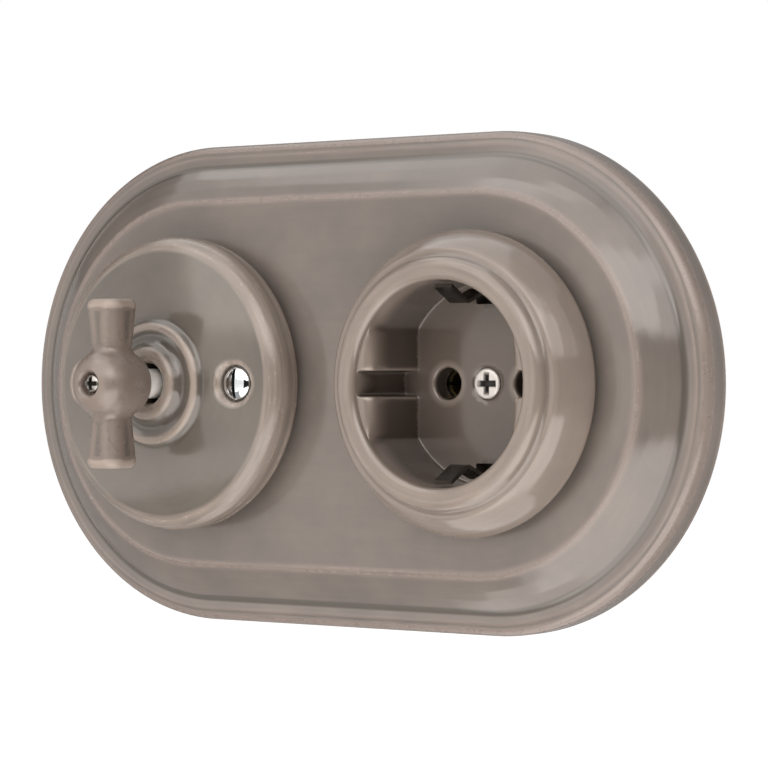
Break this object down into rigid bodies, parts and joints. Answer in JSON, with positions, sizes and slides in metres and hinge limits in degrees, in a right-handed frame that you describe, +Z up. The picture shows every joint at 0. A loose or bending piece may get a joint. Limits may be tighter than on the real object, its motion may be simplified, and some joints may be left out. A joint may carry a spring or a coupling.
{
  "type": "porcelain rotary switch and socket outlet unit",
  "caption": "Glazed porcelain wall unit with stepped oval frame: rotary light switch with bar knob beside an earthed round-well socket outlet, with mechanisms behind.",
  "frame": {"origin": "middle of the frame's back, in the plane of the wall", "axes": "+X to the right along both gangs, +Y into the wall, +Z up; the front faces -Y"},
  "size_m": [0.169, 0.0644, 0.098],
  "materials": {
    "frame_glaze": "glossy taupe glaze",
    "cover_glaze": "glossy taupe glaze",
    "knob_glaze": "glossy taupe glaze",
    "white_ceramic": "unglazed white",
    "chrome": "polished",
    "zinc_steel": "zinc plated",
    "spring_steel": "plain",
    "earth_metal": "dull, darkened",
    "brass": "plain",
    "dark_thermoset": "moulded"
  },
  "bodies": {
    "unit": {"bearing_bar": "zinc_steel", "bearing_screws": "zinc_steel", "centre_bush": "brass", "centre_screw": "zinc_steel", "cover_pillars": "zinc_steel", "cover_screws": "chrome", "detent_springs": "spring_steel", "double_frame": "frame_glaze", "earth_screw": "zinc_steel", "earth_strap": "earth_metal", "left_pin_contact": "brass", "line_contact": "brass", "load_contact": "brass", "right_pin_contact": "brass", "socket_base": "white_ceramic", "socket_base_screws": "zinc_steel", "socket_cover": "cover_glaze", "socket_ring": "zinc_steel", "socket_terminal_screws": "zinc_steel", "switch_base": "white_ceramic", "switch_base_screws": "zinc_steel", "switch_cover": "cover_glaze", "switch_ring": "zinc_steel", "switch_terminal_screws": "zinc_steel"},
    "knob": {"knob": "knob_glaze", "knob_screw": "zinc_steel", "spindle": "white_ceramic", "cam": "dark_thermoset", "contact_bridge": "brass", "retaining_clip": "spring_steel"}
  },
  "joints": [
    {"name": "knob_turn", "type": "hinge", "parent": "unit", "child": "knob", "pos_m": [-0.0355, 0, 0], "axis": [0, 1, 0], "continuous": true, "deforming": ["detent_springs"]}
  ]
}
